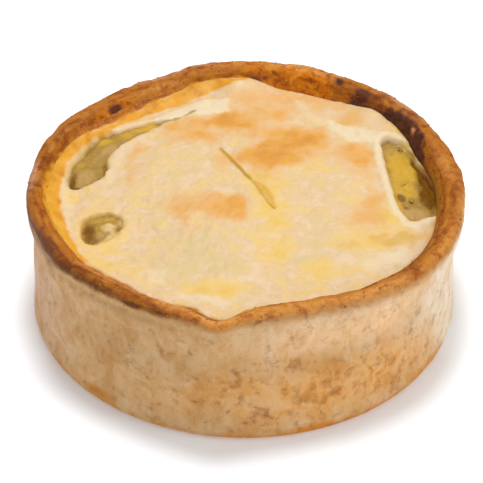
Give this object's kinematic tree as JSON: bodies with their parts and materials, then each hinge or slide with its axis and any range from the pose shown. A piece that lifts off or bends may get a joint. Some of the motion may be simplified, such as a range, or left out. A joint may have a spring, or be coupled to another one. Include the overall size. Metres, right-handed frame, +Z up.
{
  "type": "onion pie",
  "caption": "Round raised savoury pie with a deep crust wall, a browned uneven rim and a pale lid whose torn edge shows onion filling.",
  "frame": {"origin": "on the table under the middle of the pie's box", "axes": "+Z up, -Y towards the side that the picture shows, +X to its right"},
  "size_m": [0.1, 0.0988, 0.0346],
  "materials": {
    "crust": "matt baked hot water crust, tan with a browned rim",
    "lid_pastry": "pale cream pastry, slightly greasy, with golden patches",
    "onion_filling": "moist olive yellow onion, slightly translucent"
  },
  "bodies": {
    "root": {"crust_case": "crust", "lid": "lid_pastry", "filling": "onion_filling"}
  },
  "joints": []
}
